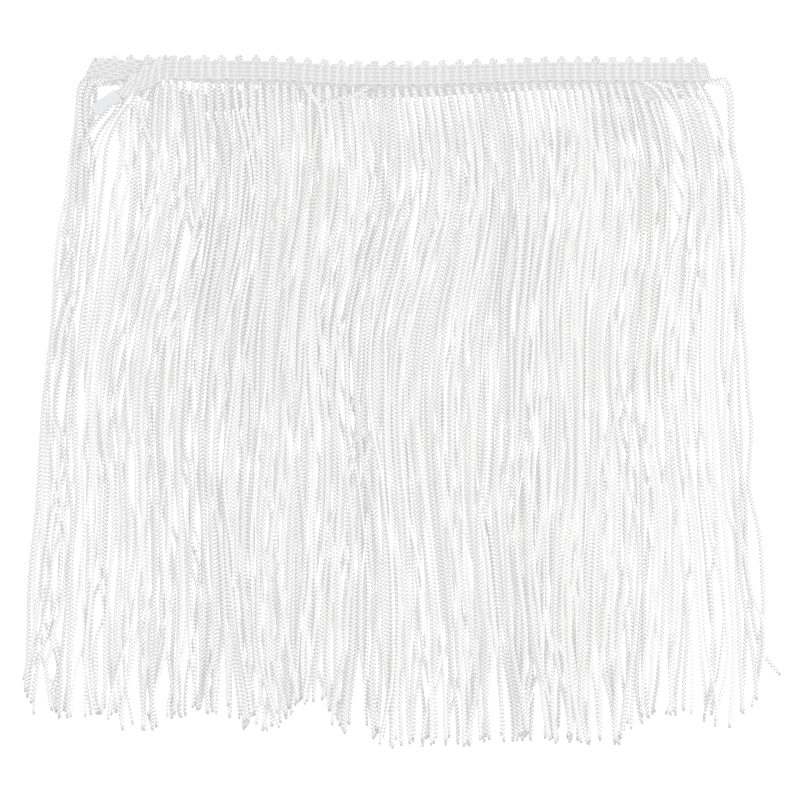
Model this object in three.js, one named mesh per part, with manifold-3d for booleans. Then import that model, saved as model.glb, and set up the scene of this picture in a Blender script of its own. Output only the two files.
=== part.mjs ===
// Chainette fringe trim, folded flat upon itself in three layers and lying on a surface.
// Units are millimetres. X runs along the heading, Y points from the cut tips up to the
// heading, and Z points up from the surface, which is Z = 0.
//
// The heading is one knitted band, laid left to right and back in three layers. Each layer
// has its own fringe: a narrow backing under the band's lower edge, with the strands that
// hang from it fused into it at their roots. A sleeve of clear tape seals the band's cut end.
import * as THREE from 'three';
import { mergeVertices } from 'three/addons/utils/BufferGeometryUtils.js';
import Module from 'manifold-3d';

// ---------------------------------------------------------------- driving dimensions

const BAND_WIDTH = 9.1;
const TAPED_WIDTH = 4.4;
const TAPER_LENGTH = 15.5;
const BAND_THICK = 1.4;
const RIB_RISE = 0.6;
const RIB_PITCH = 3.8;
const PICOT_REACH = 2.0;
const RIBS_PER_PICOT = 2;

const LAYER_GAP = 0.4;
const PART_GAP = 0.3;
const LAYER_STEP = BAND_THICK + RIB_RISE + LAYER_GAP;
const FOLD_STEPS = 5;

const LEFT_FOLD_X = -140.4;
const LEFT_FOLD_Y = 149.7;
const RIGHT_FOLD_X = 138.4;
const RIGHT_FOLD_Y = 148.9;
const BOTTOM_END_X = 136.5;
const LEFT_LEAN = -0.46;
const RIGHT_LEAN = 0.34;
const LEAN_REACH = 15;

const BACKING_WIDTH = 1.5;
const BACKING_THICK = 1.4;
const BACKING_STEP = 5.5;
const EDGE_SHIFT = BAND_WIDTH / 2 + PART_GAP + BACKING_WIDTH;
const SWEEP_FADE = 12;

const STRAND_WIDTH = 1.7;
const STRAND_THICK = 1.3;
const STRAND_LEVEL_STEP = STRAND_THICK + LAYER_GAP;
const ROOT_DEPTH = 1.0;
const DROP = 291.5;
const DROP_SWELL = 4.5;
const DROP_SCATTER = 8.5;
const CLUMP_PULL = 0.22;
const WAVE_REACH = 1.5;
const SETTLE_FROM = 24;
const SETTLE_TO = 48;
const GROWN_DEPTH = 130;
const WAVE_DEPTH = 640;
const QUIET_LEFT = 0.2;
const QUIET_RIGHT = 0.125;
const STRAY_REACH = 11;
const STRAY_FROM = 210;
const STRAY_SHORTER = 13;

const TAPE_LENGTH = 13;
const TAPE_START = 1.5;
const TAPE_THICK = 0.35;
const FRINGE_START = TAPE_START + TAPE_LENGTH + 1;

// The band's middle line in each layer, from left to right. The top layer's cut end bends down
// and to the left; the layers below sink past each slanting fold and come up again.
const TOP_LINE = [
  { x: -139.6, y: 130.2 },
  { x: -127, y: 138.9 },
  { x: -118.8, y: 143.5 },
  { x: -112.6, y: 147.2 },
  { x: -106.4, y: 149.6 },
  { x: -98, y: 149.8 },
  { x: -58, y: 149.5 },
  { x: -22, y: 147.4 },
  { x: 20, y: 147.6 },
  { x: 62, y: 149.0 },
  { x: 104, y: 149.1 },
  { x: RIGHT_FOLD_X, y: RIGHT_FOLD_Y },
];
const MIDDLE_LINE = [
  { x: LEFT_FOLD_X, y: LEFT_FOLD_Y },
  { x: -110, y: 150.2 },
  { x: -88, y: 148.4 },
  { x: -50, y: 146.8 },
  { x: 0, y: 145.8 },
  { x: 50, y: 146.0 },
  { x: 88, y: 144.6 },
  { x: 104, y: 142.2 },
  { x: 118, y: 140.2 },
  { x: 128, y: 141.4 },
  { x: RIGHT_FOLD_X, y: RIGHT_FOLD_Y },
];
const BOTTOM_LINE = [
  { x: LEFT_FOLD_X, y: LEFT_FOLD_Y },
  { x: -133, y: 149.2 },
  { x: -125, y: 146.4 },
  { x: -114, y: 140.4 },
  { x: -103, y: 136.4 },
  { x: -90, y: 135.4 },
  { x: -70, y: 137.4 },
  { x: -36, y: 140.8 },
  { x: 10, y: 142.4 },
  { x: 60, y: 145.4 },
  { x: BOTTOM_END_X, y: 146.6 },
];

// How far the outer strands have moved out from their roots at each depth.
const SPREAD = [
  { drop: 0, left: 0, right: 0 },
  { drop: 35, left: -4, right: 8 },
  { drop: 75, left: -8, right: 13 },
  { drop: 110, left: -10, right: 14 },
  { drop: 150, left: -17, right: 16.5 },
  { drop: 195, left: -19, right: 22 },
  { drop: 250, left: -20, right: 26 },
  { drop: 310, left: -18, right: 18 },
];

// How far the strands by the taped end are swept to the left at each depth below their roots.
const SWEEP = [
  { drop: 0, left: 0 },
  { drop: 12, left: -8 },
  { drop: 28, left: -15 },
  { drop: 60, left: -20 },
  { drop: 110, left: -22 },
];

// One row for each layer, with a strand for each rib. The face of the middle one is turned down,
// the strands at the top one's taped end are swept to the left, and `bends` are the depths at
// which strands bend.
const LAYERS = [
  {
    name: 'bottom', order: 0, faceUp: true, line: BOTTOM_LINE, leftFold: true, rightFold: false,
    strands: 74, waves: 4.5, phase: 0.15, swept: false, bends: [50, 145, 250],
  },
  {
    name: 'middle', order: 1, faceUp: false, line: MIDDLE_LINE, leftFold: true, rightFold: true,
    strands: 74, waves: 5.5, phase: 0.6, swept: false, bends: [24, 48, 145, 250],
  },
  {
    name: 'top', order: 2, faceUp: true, line: TOP_LINE, leftFold: false, rightFold: true,
    strands: 70, waves: 4.5, phase: 0.35, swept: true, bends: [16, 28, 48, 95, 150, 250],
  },
];

// Strands lie in clumps of these sizes, taken in turn along each layer.
const CLUMPS = [3, 5, 2, 4, 6, 3, 4, 2, 5];

const UP = new THREE.Vector3(0, 0, 1);
const wasm = await Module();
wasm.setup();

// ---------------------------------------------------------------- small helpers

function smooth(t) {
  const c = THREE.MathUtils.clamp(t, 0, 1);
  return c * c * (3 - 2 * c);
}

// A value between -1 and 1 that looks random but is the same every time.
function scatter(index, salt) {
  const raw = Math.sin(index * 12.9898 + salt * 78.233) * 43758.5453;
  return 2 * (raw - Math.floor(raw)) - 1;
}

// Reads one column of a table at a place between its rows.
function tableValue(rows, key, place, column) {
  const next = rows.findIndex((row) => row[key] > place);
  if (next === 0) return rows[0][column];
  if (next < 0) return rows[rows.length - 1][column];
  const before = rows[next - 1];
  const share = (place - before[key]) / (rows[next][key] - before[key]);
  return THREE.MathUtils.lerp(before[column], rows[next][column], smooth(share));
}

// A closed body through rings of points, each ring counter-clockwise about the way it runs.
function loft(rings) {
  const sides = rings[0].length;
  const faces = [];
  for (let i = 0; i + 1 < rings.length; i += 1) {
    for (let k = 0; k < sides; k += 1) {
      const a = i * sides + k;
      const b = i * sides + ((k + 1) % sides);
      faces.push(a, b, b + sides, a, b + sides, a + sides);
    }
  }
  const last = (rings.length - 1) * sides;
  for (let k = 1; k + 1 < sides; k += 1) {
    faces.push(0, k + 1, k);
    faces.push(last, last + k, last + k + 1);
  }
  const geometry = new THREE.BufferGeometry();
  geometry.setFromPoints(rings.flat());
  geometry.setIndex(faces);
  return geometry;
}

function toSolid(geometry) {
  const bare = geometry.clone();
  bare.deleteAttribute('normal');
  bare.deleteAttribute('uv');
  const merged = mergeVertices(bare);
  const mesh = new wasm.Mesh({
    numProp: 3,
    vertProperties: new Float32Array(merged.attributes.position.array),
    triVerts: new Uint32Array(merged.index.array),
  });
  return new wasm.Manifold(mesh);
}

function toGeometry(solid) {
  const mesh = solid.getMesh();
  const geometry = new THREE.BufferGeometry();
  geometry.setAttribute('position', new THREE.BufferAttribute(mesh.vertProperties, 3));
  geometry.setIndex(new THREE.BufferAttribute(mesh.triVerts, 1));
  return geometry;
}

// ---------------------------------------------------------------- the band's path

// The angle of the band's ribs about Z: square to the band, but along the fold near a fold.
function ribAngle(layer, x, bandAngle) {
  const right = layer.rightFold ? smooth((x - RIGHT_FOLD_X + LEAN_REACH) / LEAN_REACH) : 0;
  const left = layer.leftFold ? smooth((LEFT_FOLD_X + LEAN_REACH - x) / LEAN_REACH) : 0;
  return (1 - right - left) * bandAngle + right * RIGHT_LEAN + left * LEFT_LEAN;
}

function backHeight(layer) {
  const down = layer.faceUp ? 0 : BAND_THICK + RIB_RISE;
  return layer.order * LAYER_STEP + down;
}

// The middle line of one layer's back, from left to right.
function layerCurve(layer) {
  const z = backHeight(layer);
  return new THREE.CatmullRomCurve3(layer.line.map(({ x, y }) => new THREE.Vector3(x, y, z)));
}

// A place on a layer: its point, and the way to the picot edge.
function placeOn(layer, curve, share) {
  const point = curve.getPointAt(share);
  const along = curve.getTangentAt(share);
  const angle = ribAngle(layer, point.x, Math.atan2(along.y, along.x));
  const across = new THREE.Vector3(-Math.sin(angle), Math.cos(angle), 0);
  return { point, across };
}

function stationsOn(layer, curve, spacing, from = 0) {
  const length = curve.getLength();
  const steps = Math.round((length - from) / spacing);
  const list = [];
  for (let i = 0; i <= steps; i += 1) {
    const distance = from + (i * (length - from)) / steps;
    list.push({ ...placeOn(layer, curve, distance / length), distance, index: i });
  }
  return list;
}

// ---------------------------------------------------------------- heading

// Half the band's width at a distance along a layer: the tape squeezes the top layer's end.
function halfWidth(layer, distance) {
  if (layer.name !== 'top') return BAND_WIDTH / 2;
  const eased = smooth((distance - TAPE_START - TAPE_LENGTH) / TAPER_LENGTH);
  return THREE.MathUtils.lerp(TAPED_WIDTH, BAND_WIDTH, eased) / 2;
}

function bandRing({ point, across, normal, half, rise, picot }) {
  const corner = (w, n) => point.clone().addScaledVector(across, w).addScaledVector(normal, n);
  const low = -half;
  const high = half + picot;
  const face = BAND_THICK + rise;
  return [corner(low, 0), corner(high, 0), corner(high, face), corner(low, face)];
}

// Ribs and picots of one layer. Under the top layer a rib and its picot are taken in one.
function layerRings(layer, curve) {
  const fine = layer.name === 'top';
  const spacing = fine ? RIB_PITCH / 2 : RIB_PITCH * RIBS_PER_PICOT / 2;
  const picotEvery = fine ? 2 * RIBS_PER_PICOT : 2;
  const normal = layer.faceUp ? UP : UP.clone().negate();
  return stationsOn(layer, curve, spacing).map(({ point, across, distance, index }) => {
    const taped = fine && distance < FRINGE_START;
    const rise = !taped && index % 2 === 1 ? RIB_RISE : 0;
    const picot = !taped && index % picotEvery === 1 ? PICOT_REACH : 0;
    const half = halfWidth(layer, distance);
    return bandRing({ point, across, normal, half, rise, picot });
  });
}

// The half turn of the band from one layer to the next one down.
function foldRings(upper, lower, x, y, outward, lean) {
  const topZ = backHeight(upper);
  const bottomZ = backHeight(lower);
  const centre = new THREE.Vector3(x, y, (topZ + bottomZ) / 2);
  const backRadius = outward * (topZ - bottomZ) / 2;
  const across = new THREE.Vector3(0, 1, 0).applyAxisAngle(UP, lean);
  const out = new THREE.Vector3(outward, 0, 0).applyAxisAngle(UP, lean);
  const rings = [];
  for (let i = 1; i < FOLD_STEPS; i += 1) {
    const angle = (Math.PI * i) / FOLD_STEPS;
    const ray = out.clone().multiplyScalar(Math.sin(angle)).addScaledVector(UP, Math.cos(angle));
    const normal = ray.clone().multiplyScalar(outward);
    const point = centre.clone().addScaledVector(normal, backRadius);
    rings.push(bandRing({ point, across, normal, half: BAND_WIDTH / 2, rise: 0, picot: 0 }));
  }
  return rings;
}

function headingGeometry(curves) {
  const [bottom, middle, top] = LAYERS;
  const rings = [
    ...layerRings(top, curves.top),
    ...foldRings(top, middle, RIGHT_FOLD_X, RIGHT_FOLD_Y, 1, RIGHT_LEAN),
    ...layerRings(middle, curves.middle).reverse(),
    ...foldRings(middle, bottom, LEFT_FOLD_X, LEFT_FOLD_Y, -1, LEFT_LEAN),
    ...layerRings(bottom, curves.bottom),
  ];
  return loft(rings);
}

// ---------------------------------------------------------------- tape on the cut end

function tapeBlock(curve, grow, start, length) {
  const layer = LAYERS[2];
  const whole = curve.getLength();
  const low = -TAPED_WIDTH / 2 - grow;
  const high = TAPED_WIDTH / 2 + grow;
  const steps = 3;
  const rings = [];
  for (let i = 0; i <= steps; i += 1) {
    const share = (start + (length * i) / steps) / whole;
    const { point, across } = placeOn(layer, curve, share);
    const corner = (w, n) => point.clone().addScaledVector(across, w).addScaledVector(UP, n);
    const face = BAND_THICK + grow;
    rings.push([corner(low, -grow), corner(high, -grow), corner(high, face), corner(low, face)]);
  }
  return toSolid(loft(rings));
}

function tapeGeometry(curve) {
  const sleeve = tapeBlock(curve, PART_GAP + TAPE_THICK, TAPE_START, TAPE_LENGTH);
  const inside = tapeBlock(curve, PART_GAP, TAPE_START - 1, TAPE_LENGTH + 2);
  return toGeometry(sleeve.subtract(inside));
}

// ---------------------------------------------------------------- fringe

// Where each strand sits between the layer's ends, and the middle of its clump.
function strandPlaces(layer) {
  const places = [];
  let clump = layer.order * 2;
  let first = 0;
  while (first < layer.strands) {
    const size = Math.min(CLUMPS[clump % CLUMPS.length], layer.strands - first);
    for (let i = first; i < first + size; i += 1) {
      const middle = first + (size - 1) / 2;
      places.push({ index: i, share: (i + 0.5) / layer.strands, offset: i - middle });
    }
    first += size;
    clump += 1;
  }
  return places;
}

// The outermost strands of the middle layer stray outwards at their tips: -1 left, 1 right.
function straySide(layer, index) {
  if (layer.name !== 'middle') return 0;
  return Number(index === layer.strands - 1) - Number(index === 0);
}

// The sideways move of a strand at a depth: the spread, a slow wave, the pull of its clump and
// the sweep by the taped end.
function sideways(layer, place, pitch, depth, rootDepth) {
  const { index, share, offset } = place;
  const left = tableValue(SPREAD, 'drop', depth, 'left');
  const right = tableValue(SPREAD, 'drop', depth, 'right');
  const grown = smooth(depth / GROWN_DEPTH);
  const turn = 2 * Math.PI * (share * layer.waves + layer.phase + depth / WAVE_DEPTH);
  const edge = smooth(share / QUIET_LEFT) * smooth((1 - share) / QUIET_RIGHT);
  const wave = WAVE_REACH * grown * edge * Math.sin(turn);
  const pull = -CLUMP_PULL * grown * offset * pitch;
  const strayed = smooth((depth - STRAY_FROM) / (DROP - STRAY_SHORTER - STRAY_FROM));
  const stray = straySide(layer, index) * STRAY_REACH * strayed;
  const near = layer.swept ? Math.exp((-index * pitch) / SWEEP_FADE) : 0;
  const swept = near * tableValue(SWEEP, 'drop', depth - rootDepth, 'left');
  return THREE.MathUtils.lerp(left, right, share) + wave + pull + stray + swept;
}

// The depth of the strand's cut tip below the heading.
function tipDepth(layer, place) {
  const swell = DROP_SWELL * (Math.sin(Math.PI * place.share) - 1);
  const shorter = STRAY_SHORTER * Math.abs(straySide(layer, place.index));
  return DROP + swell - shorter + DROP_SCATTER * scatter(place.index, layer.order + 1);
}

// How far the backing's outer edge is from the band's middle line.
function edgeShift(layer, distance) {
  return halfWidth(layer, distance) + PART_GAP + BACKING_WIDTH;
}

// The strand's base: level with its own band at first, then down on the strands below it.
function strandHeight(layer, depth) {
  const root = layer.order * LAYER_STEP;
  const rest = layer.order * STRAND_LEVEL_STEP;
  const settled = smooth((depth - SETTLE_FROM) / (SETTLE_TO - SETTLE_FROM));
  return THREE.MathUtils.lerp(root, rest, settled);
}

function strandGeometry(layer, curve, place, pitch, from) {
  const length = curve.getLength();
  const distance = from + (length - from) * place.share;
  const { point, across } = placeOn(layer, curve, distance / length);
  const root = point.clone().addScaledVector(across, -edgeShift(layer, distance));
  const inside = root.clone().addScaledVector(across, ROOT_DEPTH);
  const rootDepth = RIGHT_FOLD_Y - EDGE_SHIFT - root.y;
  const start = sideways(layer, place, pitch, rootDepth, rootDepth);
  const depths = layer.bends.filter((depth) => depth > rootDepth + ROOT_DEPTH);
  depths.push(tipDepth(layer, place));
  const line = [
    inside.setZ(strandHeight(layer, 0)),
    root.setZ(strandHeight(layer, 0)),
    ...depths.map((depth) => new THREE.Vector3(
      root.x + sideways(layer, place, pitch, depth, rootDepth) - start,
      root.y + rootDepth - depth,
      strandHeight(layer, depth),
    )),
  ];
  const half = STRAND_WIDTH / 2;
  const rings = line.map((middle, i) => {
    const before = line[Math.max(i - 1, 0)];
    const after = line[Math.min(i + 1, line.length - 1)];
    const along = after.clone().sub(before).setZ(0).normalize();
    const side = new THREE.Vector3().crossVectors(along, UP);
    const crest = middle.clone().addScaledVector(UP, STRAND_THICK);
    const leftFoot = middle.clone().addScaledVector(side, -half);
    const rightFoot = middle.clone().addScaledVector(side, half);
    return [leftFoot, rightFoot, crest].reverse();
  });
  return loft(rings);
}

function backingGeometry(layer, curve, from) {
  const floor = layer.order * LAYER_STEP;
  const roof = floor + BACKING_THICK;
  const rings = stationsOn(layer, curve, BACKING_STEP, from).map(({ point, across, distance }) => {
    const low = -edgeShift(layer, distance);
    const high = BACKING_WIDTH + low;
    const corner = (w, z) => point.clone().addScaledVector(across, w).setZ(z);
    return [corner(low, floor), corner(high, floor), corner(high, roof), corner(low, roof)];
  });
  return loft(rings);
}

function fringeGeometry(layer, curve) {
  const from = layer.name === 'top' ? FRINGE_START : 0;
  const pitch = (curve.getLength() - from) / layer.strands;
  const parts = strandPlaces(layer).map((place) => strandGeometry(layer, curve, place, pitch, from));
  parts.push(backingGeometry(layer, curve, from));
  return toGeometry(wasm.Manifold.union(parts.map(toSolid)));
}

// ---------------------------------------------------------------- the object

function addMesh(group, name, geometry, material) {
  const mesh = new THREE.Mesh(geometry, material);
  mesh.name = name;
  group.add(mesh);
}

function finish(color, roughness) {
  return new THREE.MeshStandardMaterial({ color, roughness, metalness: 0 });
}

const group = new THREE.Group();
const curves = Object.fromEntries(LAYERS.map((layer) => [layer.name, layerCurve(layer)]));
addMesh(group, 'heading', headingGeometry(curves), finish(0xf1f1f0, 0.6));
addMesh(group, 'end_tape', tapeGeometry(curves.top), finish(0xd9dadb, 0.3));
for (const layer of LAYERS) {
  const geometry = fringeGeometry(layer, curves[layer.name]);
  addMesh(group, `fringe_${layer.name}`, geometry, finish(0xf6f6f5, 0.55));
}

export default group;
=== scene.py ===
# %% [markdown]
# # A folded length of chainette fringe, dressed in Blender
#
# Chainette fringe is a trimming. A soft, chain-knitted cord runs up and down through a narrow
# knitted heading, turns in a small loop (a picot) at the top edge, and hangs as a long cut end
# below. Here a length of it lies on a table, folded flat upon itself in three layers.
#
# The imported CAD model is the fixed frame: it says where the heading, the fringe and the tape
# lie. It is loaded first, and its box is kept, so that the dressed model can be compared with it.

import bpy
import numpy as np
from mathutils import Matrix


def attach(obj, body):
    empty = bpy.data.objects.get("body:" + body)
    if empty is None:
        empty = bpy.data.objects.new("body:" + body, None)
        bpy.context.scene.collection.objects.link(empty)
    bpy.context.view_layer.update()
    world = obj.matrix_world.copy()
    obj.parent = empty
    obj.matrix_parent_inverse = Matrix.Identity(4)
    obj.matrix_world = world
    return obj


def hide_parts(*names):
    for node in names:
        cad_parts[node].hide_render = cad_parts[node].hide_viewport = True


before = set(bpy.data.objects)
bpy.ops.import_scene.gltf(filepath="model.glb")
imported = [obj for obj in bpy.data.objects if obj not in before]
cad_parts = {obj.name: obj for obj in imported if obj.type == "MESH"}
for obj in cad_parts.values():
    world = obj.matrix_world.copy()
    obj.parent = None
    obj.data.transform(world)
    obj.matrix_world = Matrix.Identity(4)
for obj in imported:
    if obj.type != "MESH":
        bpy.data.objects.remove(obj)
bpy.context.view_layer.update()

MM = 0.001
print("nodes:", sorted(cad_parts))

# %% [markdown]
# ## The line that the heading follows
#
# The heading is one band, 9.1 mm wide. Seen from above it runs left to right, turns under at the
# right fold, runs back, turns under again at the left fold and runs right once more. Each layer
# gets a short table of points for its middle line, in millimetres. A polyline would show its
# corners, so a Catmull-Rom line joins them, of one cubic to a span.

# %% The band's middle line in each layer
BAND_WIDTH, BAND_THICK, RIB_RISE, LAYER_GAP = 9.1, 1.4, 0.6, 0.4
LAYER_STEP = BAND_THICK + RIB_RISE + LAYER_GAP
LEFT_FOLD, RIGHT_FOLD = (-140.4, 149.7), (138.4, 148.9)
LEFT_LEAN, RIGHT_LEAN, LEAN_REACH = -0.46, 0.34, 15.0

TOP_LINE = [(-139.6, 130.2), (-127, 138.9), (-118.8, 143.5), (-112.6, 147.2), (-106.4, 149.6),
            (-98, 149.8), (-58, 149.5), (-22, 147.4), (20, 147.6), (62, 149.0), (104, 149.1),
            RIGHT_FOLD]
MIDDLE_LINE = [LEFT_FOLD, (-110, 150.2), (-88, 148.4), (-50, 146.8), (0, 145.8), (50, 146.0),
               (88, 144.6), (104, 142.2), (118, 140.2), (128, 141.4), RIGHT_FOLD]
BOTTOM_LINE = [LEFT_FOLD, (-133, 149.2), (-125, 146.4), (-114, 140.4), (-103, 136.4),
               (-90, 135.4), (-70, 137.4), (-36, 140.8), (10, 142.4), (60, 145.4),
               (136.5, 146.6)]
print(len(TOP_LINE), len(MIDDLE_LINE), len(BOTTOM_LINE), "points for the three layers")

# %% Points and directions along each layer
def smooth_line(points, per_span=30):
    """Catmull-Rom line: in each span, a cubic from its two ends and from slopes there, which
    weigh the neighbouring steps by the square root of their lengths."""
    p = np.array(points, float)
    p = np.vstack([2 * p[0] - p[1], p, 2 * p[-1] - p[-2]])
    gap = np.sqrt(np.linalg.norm(np.diff(p, axis=0), axis=1))[:, None]
    g0, g1, g2 = gap[:-2], gap[1:-1], gap[2:]
    p0, p1, p2, p3 = p[:-3], p[1:-2], p[2:-1], p[3:]
    m1 = ((p1 - p0) / g0 - (p2 - p0) / (g0 + g1) + (p2 - p1) / g1) * g1
    m2 = ((p2 - p1) / g1 - (p3 - p1) / (g1 + g2) + (p3 - p2) / g2) * g1
    t = np.linspace(0, 1, per_span, endpoint=False)[:, None, None]
    h = ((2 * t**3 - 3 * t**2 + 1) * p1 + (t**3 - 2 * t**2 + t) * m1
         + (3 * t**2 - 2 * t**3) * p2 + (t**3 - t**2) * m2)
    return np.vstack([h.transpose(1, 0, 2).reshape(-1, p.shape[1]), p[-2]])


def ease(t):
    """An S-shaped step from 0 to 1: three t squared less two t cubed."""
    t = np.clip(t, 0, 1)
    return t * t * (3 - 2 * t)


def unit(v):
    """Each arrow divided by its own length."""
    return v / np.linalg.norm(v, axis=-1, keepdims=True)


def layer_frames(line, order, face_up, left_fold, right_fold):
    """Points of the band's back along one layer, with the way across it and the way out of its
    face. The ribs stand square to the band, and lean along each fold within LEAN_REACH of it."""
    xy = smooth_line(line)
    along = unit(np.gradient(xy, axis=0))
    angle = np.arctan2(along[:, 1], along[:, 0])
    right = right_fold * ease((xy[:, 0] - RIGHT_FOLD[0]) / LEAN_REACH + 1)
    left = left_fold * ease((LEFT_FOLD[0] - xy[:, 0]) / LEAN_REACH + 1)
    angle = (1 - right - left) * angle + right * RIGHT_LEAN + left * LEFT_LEAN
    z = order * LAYER_STEP + (0 if face_up else BAND_THICK + RIB_RISE)
    point = np.column_stack([xy, np.full(len(xy), z)])
    across = np.column_stack([-np.sin(angle), np.cos(angle), np.zeros(len(xy))])
    normal = np.tile([0, 0, 1.0 if face_up else -1.0], (len(xy), 1))
    return np.stack([point, across, normal], axis=1)


def fold_frames(upper_z, lower_z, at, outward, lean, steps=12):
    """The half turn from one layer to the next one down: a half circle round the level midway
    between their backs, in the upright plane that leans with the fold."""
    turn = np.linspace(0, np.pi, steps + 2)[1:-1, None]
    out = outward * np.array([np.cos(lean), np.sin(lean), 0])
    ray = out * np.sin(turn) + np.array([0, 0, 1.0]) * np.cos(turn)
    normal = ray * outward
    centre = np.array([*at, (upper_z + lower_z) / 2])
    point = centre + normal * outward * (upper_z - lower_z) / 2
    across = np.tile([-np.sin(lean), np.cos(lean), 0], (steps, 1))
    return np.stack([point, across, normal], axis=1)


print("a layer's faces are", LAYER_STEP - LAYER_GAP, "mm apart")

# %% Join the layers and the folds to one band
top_frames = layer_frames(TOP_LINE, 2, True, False, True)
middle_frames = layer_frames(MIDDLE_LINE, 1, False, True, True)[::-1]
bottom_frames = layer_frames(BOTTOM_LINE, 0, True, True, False)
right_turn = fold_frames(top_frames[-1, 0, 2], middle_frames[0, 0, 2], RIGHT_FOLD, 1, RIGHT_LEAN)
left_turn = fold_frames(middle_frames[-1, 0, 2], 0, LEFT_FOLD, -1, LEFT_LEAN)
band = np.concatenate([top_frames, right_turn, middle_frames, left_turn, bottom_frames])
steps = np.linalg.norm(np.diff(band[:, 0], axis=0), axis=1)
band = band[np.r_[True, steps > 1e-6]]
reach = np.r_[0, np.cumsum(np.linalg.norm(np.diff(band[:, 0], axis=0), axis=1))]
BAND_LENGTH = reach[-1]
print(f"the band is {BAND_LENGTH:.0f} mm long")

# %% Find any place on the band
TAPED_WIDTH, TAPE_END, TAPER_LENGTH = 4.4, 14.5, 15.5


def band_at(s, w, n):
    """A place on the band: its back's point at length s, moved w across and n out of its face.
    The tape squeezes the cut end, so w is scaled down there and eases back to full width."""
    s, w, n = np.broadcast_arrays(s, w, n)
    full = ease((s - TAPE_END) / TAPER_LENGTH)
    w = w * (full + (1 - full) * TAPED_WIDTH / BAND_WIDTH)
    f = np.stack([np.interp(s, reach, band[:, i, j]) for i in range(3) for j in range(3)], -1)
    f = f.reshape(*s.shape, 3, 3)
    return f[..., 0, :] + w[..., None] * unit(f[..., 1, :]) + n[..., None] * unit(f[..., 2, :])


print("the cut end is at", band_at(0, 0, 0).round(1))

# %% [markdown]
# ## Cords as tubes
#
# One helper makes every cord: a closed outline is carried along a centreline, as whole arrays.
# Blender's curve objects could do this too, but then the stitches could not follow the cord. The
# UV map has the way round the cord in U and the number of stitches along it in V. Each cord
# carries a random number for its tone, and another that rises to 1 at its cut end.

# %% Put whole arrays into a mesh
def placed(name, data):
    """Puts a mesh, a lamp or a camera into the scene."""
    made = bpy.data.objects.new(name, data)
    bpy.context.scene.collection.objects.link(made)
    return made


def mesh_of(name, verts, loops, sizes, uv):
    """A smooth mesh from points in metres, the faces' corners in one row, the number of corners
    of each face, and a UV pair for each corner."""
    mesh = bpy.data.meshes.new(name)
    mesh.vertices.add(len(verts))
    mesh.vertices.foreach_set("co", verts.ravel())
    mesh.loops.add(len(loops))
    mesh.loops.foreach_set("vertex_index", loops.astype(np.int32))
    mesh.polygons.add(len(sizes))
    starts = np.r_[0, np.cumsum(sizes)[:-1]]
    mesh.polygons.foreach_set("loop_start", starts.astype(np.int32))
    mesh.update(calc_edges=True)
    mesh.validate()
    mesh.uv_layers.new(name="stitches").data.foreach_set("uv", uv.astype(np.float32).ravel())
    mesh.shade_smooth()
    print(f"{name}: {sum(sizes - 2)} triangles")
    return mesh


# %% Build tubes from centrelines
rng = np.random.default_rng(20)
STITCH, CUT_REACH = 1.77, 0.9


def oval(sides, groove=0.0):
    """A flat oval round the cord, each point a share of half the width and half the thickness.
    The groove lowers the middle of both faces, as between a chain's two columns of stitches."""
    turn = 2 * np.pi * np.arange(sides) / sides
    dip = 1 - groove * np.abs(np.sin(turn)) ** 6
    return np.column_stack([np.cos(turn), np.sin(turn) * dip])


def tubes(name, lines, ups, width, thick, sides=8, groove=0.0, taper=0.6):
    """Carries an oval along each centreline. lines and ups are arrays of cord, point, xyz; the
    side of the oval is the way along crossed with up. Both ends narrow to a small cap. The cut
    number falls from the end as a bell curve of the distance over CUT_REACH."""
    count, rings, _ = lines.shape
    along = unit(np.gradient(lines, axis=1))
    side = unit(np.cross(along, ups))
    up = np.cross(side, along)
    half = np.broadcast_to(np.asarray(width, float) / 2, (count, rings)).copy()
    tall = np.broadcast_to(np.asarray(thick, float) / 2, (count, rings)).copy()
    shape = oval(sides, groove)
    ends = np.ones(rings)
    ends[[0, -1]] = taper
    body = (lines[:, :, None]
            + (half * ends)[..., None, None] * shape[:, 0, None] * side[:, :, None]
            + (tall * ends)[..., None, None] * shape[:, 1, None] * up[:, :, None])
    lengths = np.linalg.norm(np.diff(lines, axis=1), axis=2)
    stitch = np.concatenate([np.zeros((count, 1)), np.cumsum(lengths, axis=1)], axis=1) / STITCH
    c, r, k = np.meshgrid(np.arange(count), np.arange(rings - 1), np.arange(sides), indexing="ij")
    here = (c * rings + r) * sides
    nxt = (k + 1) % sides
    quads = np.stack([here + k, here + nxt, here + sides + nxt, here + sides + k], -1)
    around = np.stack([k, k + 1, k + 1, k], -1) / sides
    low, high = stitch[c, r], stitch[c, r + 1]
    uv = np.stack([around, np.stack([low, low, high, high], -1)], -1).reshape(-1, 2)
    ring = np.arange(sides)
    first = (np.arange(count) * rings * sides)[:, None] + ring[::-1]
    last = (np.arange(count) * rings + rings - 1)[:, None] * sides + ring
    caps = np.concatenate([first, last])
    cap_uv = np.repeat(np.r_[stitch[:, 0], stitch[:, -1]], sides)
    uv = np.concatenate([uv, np.column_stack([np.full(len(cap_uv), 0.5), cap_uv])])
    loops = np.concatenate([quads.ravel(), caps.ravel()])
    sizes = np.r_[np.full(quads.size // 4, 4), np.full(len(caps), sides)]
    mesh = mesh_of(name, body.reshape(-1, 3) * MM, loops, sizes, uv)
    tone = np.repeat(rng.random(count), rings * sides)
    to_end = np.linalg.norm(lines - lines[:, -1:], axis=2)
    cut = np.repeat(np.exp(-((to_end / CUT_REACH) ** 2)).ravel(), sides)
    for key, numbers in (("tone", tone), ("cut", cut)):
        mesh.attributes.new(key, "FLOAT", "POINT").data.foreach_set("value", numbers)
    return placed(name, mesh)


print("a stitch is", STITCH, "mm long")

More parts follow.
